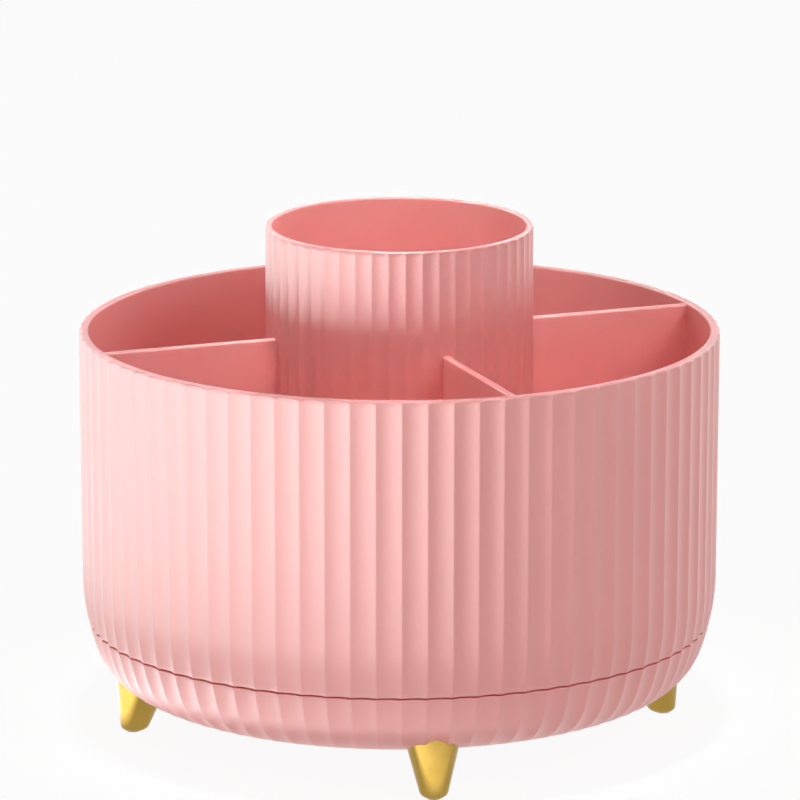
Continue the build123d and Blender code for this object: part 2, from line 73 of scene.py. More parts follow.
def studio_point(right, toward, up):
    """A point in the frame, from steps to the camera's right, towards it, and up from the floor."""
    turn = np.array([math.cos(CAMERA_AZIMUTH), math.sin(CAMERA_AZIMUTH)])
    x, y = right * turn + toward * np.array([turn[1], -turn[0]])
    return (x, y, up)


camera_data = bpy.data.cameras.new("camera")
camera_data.sensor_width = CAMERA_SENSOR
camera_data.lens = CAMERA_LENS
camera_data.shift_x = CAMERA_SHIFT
camera = bpy.data.objects.new("camera", camera_data)
camera.location = studio_point(0, CAMERA_DISTANCE, CAMERA_HEIGHT)
camera.rotation_euler = (math.pi / 2 - CAMERA_PITCH, 0, CAMERA_AZIMUTH)
bpy.context.scene.collection.objects.link(camera)
bpy.context.scene.camera = camera
print("camera at", [round(value, 3) for value in camera.location])

# %% [markdown]
# ## A grid becomes a mesh
# Every new piece is a grid of points: rows run along a profile and columns run round it. One helper turns
# such a grid into a closed mesh. It joins the last column to the first, covers the two ends with flat caps,
# turns the faces outwards by the sign of the enclosed volume, and keeps real corners sharp.

# %% Grid to mesh
SHARP_ANGLE = math.radians(38)


def enclosed_volume(points, quads):
    """Six times the volume inside the quads: the sum of the triple products of their triangles."""
    a, b, c, d = (points[quads[:, corner]] for corner in range(4))
    halves = np.einsum("ij,ij->i", a, np.cross(b, c)) + np.einsum("ij,ij->i", a, np.cross(c, d))
    return halves.sum()


def grid_piece(name, grid, body, replaced, material):
    """A closed piece from a grid of points, rows by columns by three, that rides on a body."""
    rows, columns = grid.shape[:2]
    points = grid.reshape(-1, 3)
    here = np.arange(rows * columns).reshape(rows, columns)
    beside = np.roll(here, -1, axis=1)
    quads = np.stack([here[:-1], beside[:-1], beside[1:], here[1:]], axis=-1).reshape(-1, 4)
    first_cap, last_cap = here[0, ::-1], here[-1]
    if enclosed_volume(points - points.mean(axis=0), quads) < 0:
        quads, first_cap, last_cap = quads[:, ::-1], first_cap[::-1], last_cap[::-1]
    mesh = bpy.data.meshes.new(name)
    mesh.from_pydata(points.tolist(), [], quads.tolist() + [first_cap.tolist(), last_cap.tolist()])
    mesh.polygons.foreach_set("use_smooth", np.ones(len(mesh.polygons), dtype=bool))
    mesh.set_sharp_from_angle(angle=SHARP_ANGLE)
    mesh.materials.append(material)
    piece = bpy.data.objects.new(name, mesh)
    bpy.context.scene.collection.objects.link(piece)
    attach(piece, body)
    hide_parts(replaced)
    print(f"{name}: {len(points)} points, {len(mesh.polygons)} faces")


print("corners stay sharp from", round(math.degrees(SHARP_ANGLE)), "degrees")

# %% [markdown]
# ## Colours and nodes
# Colours are written as sRGB hex values, the way a colour card gives them, and Blender wants linear light,
# so one function converts them. A second small function adds a shader node, sets its properties, and sets
# or links its inputs. With these two, a material reads as a short list.

# %% Colour and node helpers


def linear(hex_text):
    """Linear RGBA of an sRGB hex colour: the sRGB curve undone for each channel."""
    values = np.array([int(hex_text[start : start + 2], 16) for start in (1, 3, 5)]) / 255
    light = np.where(values <= 0.04045, values / 12.92, ((values + 0.055) / 1.055) ** 2.4)
    return (*light.tolist(), 1.0)


def add_node(tree, kind, inputs, **settings):
    """One node: its settings, then each input set to a value or linked to another node's socket."""
    node = tree.nodes.new(kind)
    for name, value in settings.items():
        setattr(node, name, value)
    for name, value in inputs.items():
        if isinstance(value, bpy.types.NodeSocket):
            tree.links.new(value, node.inputs[name])
        else:
            node.inputs[name].default_value = value
    return node


def new_material(name):
    """An empty material, its node tree, and the socket with Object coordinates in metres."""
    material = bpy.data.materials.new(name)
    material.use_nodes = True
    material.node_tree.nodes.clear()
    place = add_node(material.node_tree, "ShaderNodeTexCoord", {}).outputs["Object"]
    return material, material.node_tree, place


print("middle grey in linear light:", round(linear("#808080")[0], 3))

# %% [markdown]
# ## Pink moulded ABS
# Drum, cup, bowl and dividers are injection-moulded ABS, dyed through and finished with a thin clear
# lacquer. The mould is finely blasted, so the skin is satin: highlights are broad and soft. Light sinks a
# few millimetres into the dyed plastic, which keeps its shadows warm. Dye and flow leave faint cloudy
# patches a few centimetres wide. The blasted grain is really about a tenth of a millimetre; it is drawn
# coarser so that it shows at all.

# %% Pink ABS
PINK = "#f69d98"
PINK_CLOUD = "#f39893"
PINK_CLOUD_SIZE = 0.035
PINK_CLOUD_FROM = 0.35
PINK_CLOUD_TO = 0.65
BLAST_GRAIN_SIZE = 0.0006
BLAST_GRAIN_DEPTH = 0.000006
BLAST_GRAIN_STRENGTH = 0.5
SATIN_ROUGHNESS = (0.36, 0.42)
SATIN_SPECULAR = 1.0
ABS_IOR = 1.53
LACQUER_WEIGHT = 0.6
LACQUER_ROUGHNESS = 0.34
GLOW_WEIGHT = 0.1
GLOW_DEPTH = 0.004
GLOW_RADIUS = (1.0, 0.3, 0.22)


def satin_abs(name, colour, cloud_colour):
    """Satin moulded plastic under clear lacquer: cloudy dye, uneven gloss and a fine blasted grain."""
    material, tree, place = new_material(name)
    clouds = add_node(
        tree, "ShaderNodeTexNoise", {"Vector": place, "Scale": 1 / PINK_CLOUD_SIZE, "Detail": 3.0}
    ).outputs["Fac"]
    dye = add_node(tree, "ShaderNodeValToRGB", {"Fac": clouds})
    dye.color_ramp.elements[0].color = linear(cloud_colour)
    dye.color_ramp.elements[0].position = PINK_CLOUD_FROM
    dye.color_ramp.elements[1].color = linear(colour)
    dye.color_ramp.elements[1].position = PINK_CLOUD_TO
    grain = add_node(
        tree, "ShaderNodeTexNoise", {"Vector": place, "Scale": 1 / BLAST_GRAIN_SIZE, "Detail": 2.0}
    ).outputs["Fac"]
    bump = add_node(
        tree,
        "ShaderNodeBump",
        {"Height": grain, "Strength": BLAST_GRAIN_STRENGTH, "Distance": BLAST_GRAIN_DEPTH},
    )
    smoothest, roughest = SATIN_ROUGHNESS
    gloss = add_node(
        tree, "ShaderNodeMapRange", {"Value": clouds, "To Min": smoothest, "To Max": roughest}
    )
    skin = add_node(
        tree,
        "ShaderNodeBsdfPrincipled",
        {
            "Base Color": dye.outputs["Color"],
            "Roughness": gloss.outputs["Result"],
            "Normal": bump.outputs["Normal"],
            "IOR": ABS_IOR,
            "Specular IOR Level": SATIN_SPECULAR,
            "Coat Weight": LACQUER_WEIGHT,
            "Coat Roughness": LACQUER_ROUGHNESS,
            "Subsurface Weight": GLOW_WEIGHT,
            "Subsurface Scale": GLOW_DEPTH,
            "Subsurface Radius": GLOW_RADIUS,
        },
    )
    add_node(tree, "ShaderNodeOutputMaterial", {"Surface": skin.outputs["BSDF"]})
    return material


pink_abs = satin_abs("pink_moulded_abs", PINK, PINK_CLOUD)
print("made", pink_abs.name)

# %% [markdown]
# ## Gold electroplate
# The feet are moulded plastic with a bright electroplated skin, so they mirror the room like solid metal. A
# thin plated layer is never perfectly even: its tint and gloss drift a little, over a few millimetres.

# %% Gold plate
GOLD = "#ad8f48"
GOLD_DEEP = "#a1833b"
PLATE_PATCH_SIZE = 0.004
PLATE_ROUGHNESS = (0.03, 0.07)


def electroplate(name, colour, deep_colour):
    """Bright plating: a metal whose tint and gloss drift slightly."""
    material, tree, place = new_material(name)
    drift = add_node(
        tree, "ShaderNodeTexNoise", {"Vector": place, "Scale": 1 / PLATE_PATCH_SIZE, "Detail": 2.0}
    ).outputs["Fac"]
    tint = add_node(tree, "ShaderNodeValToRGB", {"Fac": drift})
    tint.color_ramp.elements[0].color = linear(deep_colour)
    tint.color_ramp.elements[1].color = linear(colour)
    smoothest, roughest = PLATE_ROUGHNESS
    gloss = add_node(
        tree, "ShaderNodeMapRange", {"Value": drift, "To Min": smoothest, "To Max": roughest}
    )
    plate = add_node(
        tree,
        "ShaderNodeBsdfPrincipled",
        {
            "Base Color": tint.outputs["Color"],
            "Metallic": 1.0,
            "Roughness": gloss.outputs["Result"],
        },
    )
    add_node(tree, "ShaderNodeOutputMaterial", {"Surface": plate.outputs["BSDF"]})
    return material


gold_plate = electroplate("gold_electroplate", GOLD, GOLD_DEEP)
print("made", gold_plate.name)

# %% [markdown]
# ## Acetal, zinc and silicone
# The bearing's races, cage and bush are white acetal, a slippery plastic with a waxy skin. Screws, washer
# and balls are steel with bright zinc. The pads under the feet are soft milky silicone. The three differ in
# colour, gloss, the size of their mottling and being metal or not, so one function makes them.

# %% Inner finishes


def mottled(name, colour, dark_colour, patch_size, roughness, metallic):
    """A plain industrial skin whose tone and gloss vary in patches of a given size."""
    material, tree, place = new_material(name)
    patches = add_node(
        tree, "ShaderNodeTexNoise", {"Vector": place, "Scale": 1 / patch_size, "Detail": 4.0}
    ).outputs["Fac"]
    tone = add_node(tree, "ShaderNodeValToRGB", {"Fac": patches})
    tone.color_ramp.elements[0].color = linear(dark_colour)
    tone.color_ramp.elements[1].color = linear(colour)
    smoothest, roughest = roughness
    gloss = add_node(
        tree, "ShaderNodeMapRange", {"Value": patches, "To Min": smoothest, "To Max": roughest}
    )
    skin = add_node(
        tree,
        "ShaderNodeBsdfPrincipled",
        {
            "Base Color": tone.outputs["Color"],
            "Metallic": metallic,
            "Roughness": gloss.outputs["Result"],
        },
    )
    add_node(tree, "ShaderNodeOutputMaterial", {"Surface": skin.outputs["BSDF"]})
    return material


ACETAL_PATCH_SIZE = 0.008
ACETAL_ROUGHNESS = (0.35, 0.45)
ZINC_PATCH_SIZE = 0.0015
ZINC_ROUGHNESS = (0.22, 0.36)
SILICONE_PATCH_SIZE = 0.002
SILICONE_ROUGHNESS = (0.55, 0.7)
white_acetal = mottled("white_acetal", "#ecebe6", "#e3e1da", ACETAL_PATCH_SIZE, ACETAL_ROUGHNESS, 0.0)
zinc_steel = mottled("bright_zinc", "#d2d4d8", "#b9bcc2", ZINC_PATCH_SIZE, ZINC_ROUGHNESS, 1.0)
silicone = mottled("milky_silicone", "#dedad4", "#d3cec7", SILICONE_PATCH_SIZE, SILICONE_ROUGHNESS, 0.0)
print("made", ", ".join(finish.name for finish in (white_acetal, zinc_steel, silicone)))

# %% [markdown]
# ## Finishes on the frame
# Each node of the frame names the material that the real part is made of. A small table turns those names
# into the finishes above. The inner parts keep the frame's own meshes, so this is all they need.

# %% Finishes on the nodes
finish_of_slot = {
    "pink_abs": pink_abs,
    "gold_plate": gold_plate,
    "white_acetal": white_acetal,
    "zinc_steel": zinc_steel,
    "clear_silicone": silicone,
}
for subpart in frame["record"]["subparts"]:
    node = frame["nodes"][subpart["node"]]
    node.data.materials.clear()
    node.data.materials.append(finish_of_slot[subpart["material_slot"]])

# %% [markdown]
# ## The outer profile
# Drum and bowl share one outline: a wall with a trace of draft, a wide haunch and a tight heel, all
# tangent. Heights come from the frame. The angle that the outline leans inwards makes a good parameter,
# because each arc is then just its centre plus radius times cosine and sine.

# %% Profile sizes
drum_low, drum_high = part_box("drum")
cup_low, cup_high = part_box("brush_cup")
bowl_low, bowl_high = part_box("base_bowl")
divider_low, divider_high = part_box("divider_right")
RIM_RADIUS = 0.105
RIM_HEIGHT = drum_high.z
UNDERSIDE = bowl_low.z
WALL_DRAFT = math.radians(0.32)
HAUNCH_END = math.radians(20.52)
HAUNCH_RADIUS = 0.0723
HEEL_RADIUS = 0.0199
HEEL_SINK = 0.0006
SEAM_HEIGHT = frame["record"]["behaviour"]["joints"][0]["pos_m"][2]
SEAM_GAP = 0.0005

heel_height = UNDERSIDE - HEEL_SINK + HEEL_RADIUS
haunch_height = heel_height + (HAUNCH_RADIUS - HEEL_RADIUS) * math.sin(HAUNCH_END)
haunch_top = haunch_height - HAUNCH_RADIUS * math.sin(WALL_DRAFT)
haunch_foot = haunch_height - HAUNCH_RADIUS * math.sin(HAUNCH_END)
print("haunch from", round(haunch_foot * 1000, 1), "to", round(haunch_top * 1000, 1), "mm up")

# %% Profile of drum and bowl


def wall_radius(height):
    """Radius of the drafted wall: the rim's radius less the fall times the draft."""
    return RIM_RADIUS - (RIM_HEIGHT - height) * math.tan(WALL_DRAFT)


haunch_centre = wall_radius(haunch_top) - HAUNCH_RADIUS * math.cos(WALL_DRAFT)
heel_centre = haunch_centre + (HAUNCH_RADIUS - HEEL_RADIUS) * math.cos(HAUNCH_END)


def lean_at(height):
    """Lean of the outline from upright: draft on the wall, the arcsine of the drop on each arc."""
    on_haunch = np.clip((haunch_height - height) / HAUNCH_RADIUS, -1, 1)
    on_heel = np.clip((heel_height - height) / HEEL_RADIUS, -1, 1)
    arcs = np.where(height > haunch_foot, np.arcsin(on_haunch), np.arcsin(on_heel))
    return np.where(height > haunch_top, WALL_DRAFT, arcs)


def outline_radius(height):
    """Radius over the arrises: the wall's line, or an arc's centre plus radius times cosine of the lean."""
    lean = lean_at(height)
    on_haunch = haunch_centre + HAUNCH_RADIUS * np.cos(lean)
    on_heel = heel_centre + HEEL_RADIUS * np.cos(lean)
    arcs = np.where(height > haunch_foot, on_haunch, on_heel)
    return np.where(height > haunch_top, wall_radius(height), arcs)


marks = np.array([RIM_HEIGHT, SEAM_HEIGHT, UNDERSIDE])
print("radii at rim, seam and underside in mm:", (outline_radius(marks) * 1000).round(2))

# %% [markdown]
# ## Flutes
# The wall is scooped by eighty shallow round hollows that meet in crisp edges, called arrises. Across one
# hollow the depth falls off with the square of the distance from its middle. A real moulded arris is not a
# knife edge, so the last few tenths of a millimetre are eased with a small parabola, and that easing is
# what catches the light. Columns are packed more closely there.

# %% Flutes
FLUTE_COUNT = 80
FLUTE_DEPTH = 0.0009
FLUTE_FADE_START = math.radians(40)
FLUTE_FADE_END = math.radians(80)
ARRIS_EASE_SHARE = 0.09
HOLLOW_COLUMNS = 9


def hollow_at(bearing, count, first_hollow):
    """How hollow the wall is at a bearing: 1 mid-hollow, falling with the square to an eased arris."""
    across = ((bearing - first_hollow) * count / (2 * math.pi) + 0.5) % 1 * 2 - 1
    from_arris = 1 - np.abs(across)
    ease = ARRIS_EASE_SHARE
    eased = np.where(from_arris < ease, from_arris**2 / (2 * ease) + ease / 2, from_arris)
    return 2 * eased - eased**2


def flute_columns(count, first_hollow):
    """Bearings of the columns, closer together at each arris, and how hollow the wall is there."""
    ease = ARRIS_EASE_SHARE
    across = np.r_[-1, -1 + ease / 2, np.linspace(-1 + ease, 1 - ease, HOLLOW_COLUMNS), 1 - ease / 2]
    pitch = 2 * math.pi / count
    middles = first_hollow + pitch * np.arange(count)
    bearings = (middles[:, None] + across * pitch / 2).ravel()
    return bearings, hollow_at(bearings, count, first_hollow)


def flute_depth(height):
    """Depth of a hollow, level with the floor: half a cosine wave fades it out as the heel turns under."""
    lean = lean_at(height)
    faded = np.clip((lean - FLUTE_FADE_START) / (FLUTE_FADE_END - FLUTE_FADE_START), 0, 1)
    return FLUTE_DEPTH * (1 + np.cos(math.pi * faded)) / 2 / np.cos(lean)


bearings, hollow = flute_columns(FLUTE_COUNT, 0.0)
print("columns round the drum:", len(bearings))

# %% [markdown]
# ## Turning a profile
# A lathe would turn a plain profile, and a modelling tool can spin one. Here each row of the profile also
# says how deep the hollows are at that place, so walls, floors, rims and fluted sides all come from one
# formula. Two helpers write the plain stretches: corners, and rounded edges.

# %% Profile rows and turning
EDGE_ROWS = 5
FILLET_ROWS = 7


def fluted_turning(profile, bearings, hollow):
    """Grid of a profile turned round Z: radius less depth times hollow, at each bearing.

    A profile is rows of radius, height and flute depth.
    """
    radius = profile[:, 0, None] - profile[:, 2, None] * hollow
    height = np.broadcast_to(profile[:, 1, None], radius.shape)
    return np.stack([radius * np.cos(bearings), radius * np.sin(bearings), height], axis=-1)


def plain_rows(*corners):
    """Profile rows without flutes, from pairs of radius and height."""
    return np.array([(radius, height, 0.0) for radius, height in corners])


def quarter_round(radius, height, size, start, end, steps=EDGE_ROWS):
    """Profile rows without flutes along an arc about (radius, height), between two angles in degrees."""
    angle = np.radians(np.linspace(start, end, steps))
    rows = [radius + size * np.cos(angle), height + size * np.sin(angle), np.zeros(steps)]
    return np.stack(rows, axis=1)


print("rows on a rounded edge:", len(quarter_round(0, 0, 1, 0, 90)))

# %% [markdown]
# ## The drum
# One closed profile is carried round the axis: across the floor inside, up the smooth inner wall, over the
# rim, down the fluted outside to the seam, and back under the floor to the pivot post. At the rim the
# hollows run out into the rounded edge, which leaves an even pale band along the top.

# %% Drum sizes
FLOOR_TOP = cup_low.z
FLOOR_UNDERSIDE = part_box("upper_race")[1].z
FLOOR_FILLET = 0.003
FLOOR_MIDWAY = 0.05
DRUM_WALL = 0.0032
INNER_DRAFT = math.radians(0.8)
RIM_ROUND = 0.0012
RIM_INNER_ROUND = 0.0007
RIM_FLUTE_SHARE = 0.2
SKIRT_WALL = 0.0023
SEAM_ROUND = 0.0004
POST_RADIUS = 0.007
POLE_RADIUS = 0.0004
RIM_ROWS = 7
WALL_ROWS = 4
HAUNCH_ROWS = 9


def inner_radius(height):
    """Radius of the drum's smooth inner wall: the rim's less the wall, less the fall times the draft."""
    return RIM_RADIUS - DRUM_WALL - (RIM_HEIGHT - height) * math.tan(INNER_DRAFT)


def rounded_rim(outer_radius, rim_height, size, depth):
    """Profile rows down a quarter circle over a rim's edge. The hollows deepen with the square of the way."""
    angle = np.radians(np.linspace(90, 0, RIM_ROWS))
    share = RIM_FLUTE_SHARE + (1 - RIM_FLUTE_SHARE) * np.linspace(0, 1, RIM_ROWS) ** 2
    radius = outer_radius - size + size * np.cos(angle)
    return np.stack([radius, rim_height - size + size * np.sin(angle), depth * share], axis=1)


def fluted_rows(heights):
    """Profile rows on the fluted outline at these heights: radius, height and depth of the hollows."""
    return np.stack([outline_radius(heights), heights, flute_depth(heights)], axis=1)


print("inner radius at the rim in mm:", round(inner_radius(RIM_HEIGHT) * 1000, 2))

# %% Drum
drum_foot = SEAM_HEIGHT + SEAM_GAP / 2
skirt_radius = outline_radius(np.array(drum_foot)) - SKIRT_WALL
seam_angle = np.radians(np.linspace(0, 90, EDGE_ROWS))
drum_seam_rows = fluted_rows(drum_foot + SEAM_ROUND * (1 - np.sin(seam_angle)))
drum_seam_rows[:, 0] -= SEAM_ROUND * (1 - np.cos(seam_angle))
fillet_height = FLOOR_TOP + FLOOR_FILLET
drum_profile = np.concatenate([
    plain_rows((POLE_RADIUS, FLOOR_TOP), (FLOOR_MIDWAY, FLOOR_TOP)),
    quarter_round(
        inner_radius(FLOOR_TOP) - FLOOR_FILLET, fillet_height, FLOOR_FILLET, -90, 0, FILLET_ROWS
    ),
    quarter_round(
        inner_radius(RIM_HEIGHT) + RIM_INNER_ROUND, RIM_HEIGHT - RIM_INNER_ROUND, RIM_INNER_ROUND, 180, 90
    ),
    rounded_rim(RIM_RADIUS, RIM_HEIGHT, RIM_ROUND, FLUTE_DEPTH),
    fluted_rows(np.linspace(RIM_HEIGHT - 2 * RIM_ROUND, haunch_top, WALL_ROWS)),
    fluted_rows(np.linspace(haunch_top, drum_foot + SEAM_ROUND, HAUNCH_ROWS)[1:-1]),
    drum_seam_rows,
    plain_rows((skirt_radius, drum_foot), (skirt_radius, FLOOR_UNDERSIDE)),
    plain_rows((POST_RADIUS, FLOOR_UNDERSIDE), (POST_RADIUS, drum_low.z), (POLE_RADIUS, drum_low.z)),
])
drum_grid = fluted_turning(drum_profile, bearings, hollow)
grid_piece("drum_shell", drum_grid, "carousel", "drum", pink_abs)

# %% [markdown]
# ## The brush cup
# The cup is fluted like the drum, with fifty finer hollows and thinner walls. It stands with an arris on the
# right and left dividers and a hollow on the other two. The same turning helper makes it from a profile of
# its own.

# %% Brush cup
CUP_RADIUS = 0.04384
CUP_FLUTE_COUNT = 50
CUP_FLUTE_DEPTH = 0.0006
CUP_WALL = 0.0023
CUP_DRAFT = math.radians(0.4)
CUP_RECESS_RADIUS = 0.04044
CUP_RECESS_DEPTH = 0.0035
CUP_RECESS_TOP = FLOOR_TOP + CUP_RECESS_DEPTH
CUP_FLOOR_THICKNESS = 0.0024
CUP_FLOOR = CUP_RECESS_TOP + CUP_FLOOR_THICKNESS
CUP_FLOOR_MIDWAY = 0.02
CUP_FLOOR_FILLET = 0.003
CUP_RIM_ROUND = 0.0009
CUP_RIM_INNER_ROUND = 0.0006
CUP_WALL_ROWS = 3

cup_bore = CUP_RADIUS - CUP_WALL
cup_floor_bore = cup_bore - (cup_high.z - CUP_FLOOR) * math.tan(CUP_DRAFT)
cup_heights = np.linspace(cup_high.z - 2 * CUP_RIM_ROUND, FLOOR_TOP, CUP_WALL_ROWS)
cup_radii = np.full(CUP_WALL_ROWS, CUP_RADIUS)
cup_wall_rows = np.stack([cup_radii, cup_heights, np.full(CUP_WALL_ROWS, CUP_FLUTE_DEPTH)], axis=1)
cup_fillet_height = CUP_FLOOR + CUP_FLOOR_FILLET
cup_profile = np.concatenate([
    plain_rows((POLE_RADIUS, CUP_FLOOR), (CUP_FLOOR_MIDWAY, CUP_FLOOR)),
    quarter_round(
        cup_floor_bore - CUP_FLOOR_FILLET, cup_fillet_height, CUP_FLOOR_FILLET, -90, 0, FILLET_ROWS
    ),
    quarter_round(
        cup_bore + CUP_RIM_INNER_ROUND, cup_high.z - CUP_RIM_INNER_ROUND, CUP_RIM_INNER_ROUND, 180, 90
    ),
    rounded_rim(CUP_RADIUS, cup_high.z, CUP_RIM_ROUND, CUP_FLUTE_DEPTH),
    cup_wall_rows,
    plain_rows((CUP_RECESS_RADIUS, FLOOR_TOP), (CUP_RECESS_RADIUS, CUP_RECESS_TOP)),
    plain_rows((POLE_RADIUS, CUP_RECESS_TOP)),
])
cup_bearings, cup_hollow = flute_columns(CUP_FLUTE_COUNT, math.pi / CUP_FLUTE_COUNT)
cup_grid = fluted_turning(cup_profile, cup_bearings, cup_hollow)
grid_piece("brush_cup_shell", cup_grid, "carousel", "brush_cup", pink_abs)

# %% [markdown]
# ## The dividers
# Each divider is a thin upright panel between cup and wall, with an eased top edge. Its cross-section is a
# loop of points, carried outwards along the panel. The outer end leans with the drum's wall, so each point
# of the loop stops at the wall's radius for its own height.

# %% Dividers
DIVIDER_HALF = (divider_high.y - divider_low.y) / 2
DIVIDER_EDGE_ROUND = 0.0007
DIVIDER_SEAT = 0.00068
DIVIDER_STATIONS = 6
DIVIDER_EDGE_ROWS = 6
SIDES = ("right", "back", "left", "front")
edge_angle = np.radians(np.linspace(0, 90, DIVIDER_EDGE_ROWS))
edge_y = DIVIDER_HALF - DIVIDER_EDGE_ROUND * (1 - np.cos(edge_angle))
edge_z = divider_high.z - DIVIDER_EDGE_ROUND * (1 - np.sin(edge_angle))
section_y = np.r_[DIVIDER_HALF, edge_y, -edge_y[::-1], -DIVIDER_HALF]
section_z = np.r_[divider_low.z, edge_z, edge_z[::-1], divider_low.z]
divider_reach = inner_radius(section_z) + DIVIDER_SEAT
stations = np.linspace(0, 1, DIVIDER_STATIONS)[:, None]
panel_x = divider_low.x + (divider_reach - divider_low.x) * stations
panel_y = np.broadcast_to(section_y, panel_x.shape)
panel_z = np.broadcast_to(section_z, panel_x.shape)
panel = np.stack([panel_x, panel_y, panel_z], axis=-1)


def turned(grid, angle):
    """A grid turned about Z by an angle: each point times the turn's matrix."""
    cosine, sine = math.cos(angle), math.sin(angle)
    return grid @ np.array([[cosine, sine, 0], [-sine, cosine, 0], [0, 0, 1]])


for step, side in enumerate(SIDES):
    divider_grid = turned(panel, step * math.pi / 2)
    grid_piece(f"divider_panel_{side}", divider_grid, "carousel", f"divider_{side}", pink_abs)

# %% [markdown]
# ## The bowl
# The bowl goes on where the drum stops, across a seam of half a millimetre, and its hollows line up with
# the drum's at rest. Its closed profile runs from the bush's bore over the floor inside, up to the lip that
# hides in the drum's skirt, out over the eased seam edge and round the heel to the flat underside and the
# well in the middle of it.

# %% Bowl sizes
BOWL_WALL = 0.004
BOWL_FLOOR = UNDERSIDE - HEEL_SINK + BOWL_WALL
HUB_BORE = 0.00911
HUB_RADIUS = 0.01211
HUB_STEP = 0.0015
HUB_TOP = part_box("pivot_bush")[1].z - HUB_STEP
LIP_CLEARANCE = 0.0004
WELL_RADIUS = 0.0135
WELL_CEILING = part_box("pivot_bush")[0].z
WELL_ROUND = 0.0005
UNDERSIDE_EASE = 0.0006
UNDERSIDE_MIDWAY = 0.05
BOWL_HAUNCH_ROWS = 7
HEEL_ROWS = 16
INSIDE_ROWS = 8
bowl_top = SEAM_HEIGHT - SEAM_GAP / 2
print("bowl from", round(UNDERSIDE * 1000, 2), "to", round(bowl_top * 1000, 2), "mm, and its lip above that")

# %% Bowl
lip_outer = skirt_radius - LIP_CLEARANCE
lip_inner = outline_radius(np.array(bowl_top)) - BOWL_WALL
bowl_seam_rows = fluted_rows(bowl_top - SEAM_ROUND * (1 - np.cos(seam_angle)))
bowl_seam_rows[:, 0] -= SEAM_ROUND * (1 - np.sin(seam_angle))
heel_lean = np.linspace(HAUNCH_END, lean_at(np.array(UNDERSIDE + UNDERSIDE_EASE)), HEEL_ROWS)
heel_heights = heel_height - HEEL_RADIUS * np.sin(heel_lean)
inside_lean = np.linspace(math.pi / 2, HAUNCH_END, INSIDE_ROWS)
inside_heights = heel_height - (HEEL_RADIUS - BOWL_WALL) * np.sin(inside_lean)
inside_radii = heel_centre + (HEEL_RADIUS - BOWL_WALL) * np.cos(inside_lean)
underside_rows = fluted_rows(np.array([UNDERSIDE + UNDERSIDE_EASE / 3, UNDERSIDE]))
bowl_profile = np.concatenate([
    plain_rows((HUB_BORE, WELL_CEILING), (HUB_BORE, HUB_TOP), (HUB_RADIUS, HUB_TOP)),
    plain_rows((HUB_RADIUS, BOWL_FLOOR)),
    plain_rows(*zip(inside_radii, inside_heights)),
    plain_rows((lip_inner, bowl_top), (lip_inner, bowl_high.z), (lip_outer, bowl_high.z)),
    plain_rows((lip_outer, bowl_top)),
    bowl_seam_rows,
    fluted_rows(np.linspace(bowl_top - SEAM_ROUND, haunch_foot, BOWL_HAUNCH_ROWS)[1:]),
    fluted_rows(heel_heights[1:]),
    underside_rows,
    plain_rows((UNDERSIDE_MIDWAY, UNDERSIDE)),
    quarter_round(WELL_RADIUS + WELL_ROUND, UNDERSIDE + WELL_ROUND, WELL_ROUND, 270, 180),
    plain_rows((WELL_RADIUS, WELL_CEILING), (HUB_BORE, WELL_CEILING)),
])
bowl_grid = fluted_turning(bowl_profile, bearings, hollow)
grid_piece("bowl_shell", bowl_grid, "base", "base_bowl", pink_abs)

# %% [markdown]
# ## The gold feet
# Each foot is a cone that leans inwards and is cut to the fluted bowl, so its upper edge is scalloped. A
# point of the cone is found from its angle round the cone and its height. Where the cone enters the bowl is
# found by halving the height interval again and again, for all angles at once. The sole is rounded over.

# %% Leaning cone
pad_low, pad_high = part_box("foot_pad_right")
foot_low, foot_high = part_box("foot_right")
FOOT_CIRCLE = math.hypot(pad_low.x + pad_high.x, pad_low.y + pad_high.y) / 2
FOOT_BEARING = math.atan2(pad_low.y + pad_high.y, pad_low.x + pad_high.x)
FOOT_SOLE_RADIUS = 0.0042
FOOT_TAPER = math.radians(14.5)
FOOT_LEAN = math.radians(10.5)
FOOT_COLUMNS = 96


def cone_point(around, height):
    """Point of the leaning cone: the axis point plus the outward direction times a radius growing upwards."""
    sine, cosine = math.sin(FOOT_LEAN), math.cos(FOOT_LEAN)
    outward = np.stack([np.cos(around) * cosine, np.sin(around), np.cos(around) * sine], axis=-1)
    grow = math.tan(FOOT_TAPER)
    along = (height - FOOT_SOLE_RADIUS * outward[..., 2]) / (cosine + grow * outward[..., 2])
    axis = np.array([-sine, 0, cosine])
    radius = FOOT_SOLE_RADIUS + grow * along
    return np.array([FOOT_CIRCLE, 0, 0]) + axis * along[..., None] + outward * radius[..., None]


print("feet on a circle of", round(FOOT_CIRCLE * 1000, 2), "mm radius")

# %% Where the cone enters the bowl
HALVINGS = 40


def in_bowl(points):
    """True where a point is above the underside and within the fluted outline."""
    x, y, z = np.moveaxis(points, -1, 0)
    surface = outline_radius(z) - flute_depth(z) * hollow_at(np.arctan2(y, x), FLUTE_COUNT, 0.0)
    return (z > UNDERSIDE) & (np.hypot(x, y) < surface)


around = np.linspace(0, 2 * math.pi, FOOT_COLUMNS, endpoint=False)
below = np.full(FOOT_COLUMNS, foot_low.z)
above = np.full(FOOT_COLUMNS, foot_high.z + FOOT_SOLE_RADIUS)
for _ in range(HALVINGS):
    middle = (below + above) / 2
    entered = in_bowl(cone_point(around, middle))
    below, above = np.where(entered, below, middle), np.where(entered, middle, above)
print("the cone enters the bowl between", (np.array([above.min(), above.max()]) * 1000).round(2), "mm up")

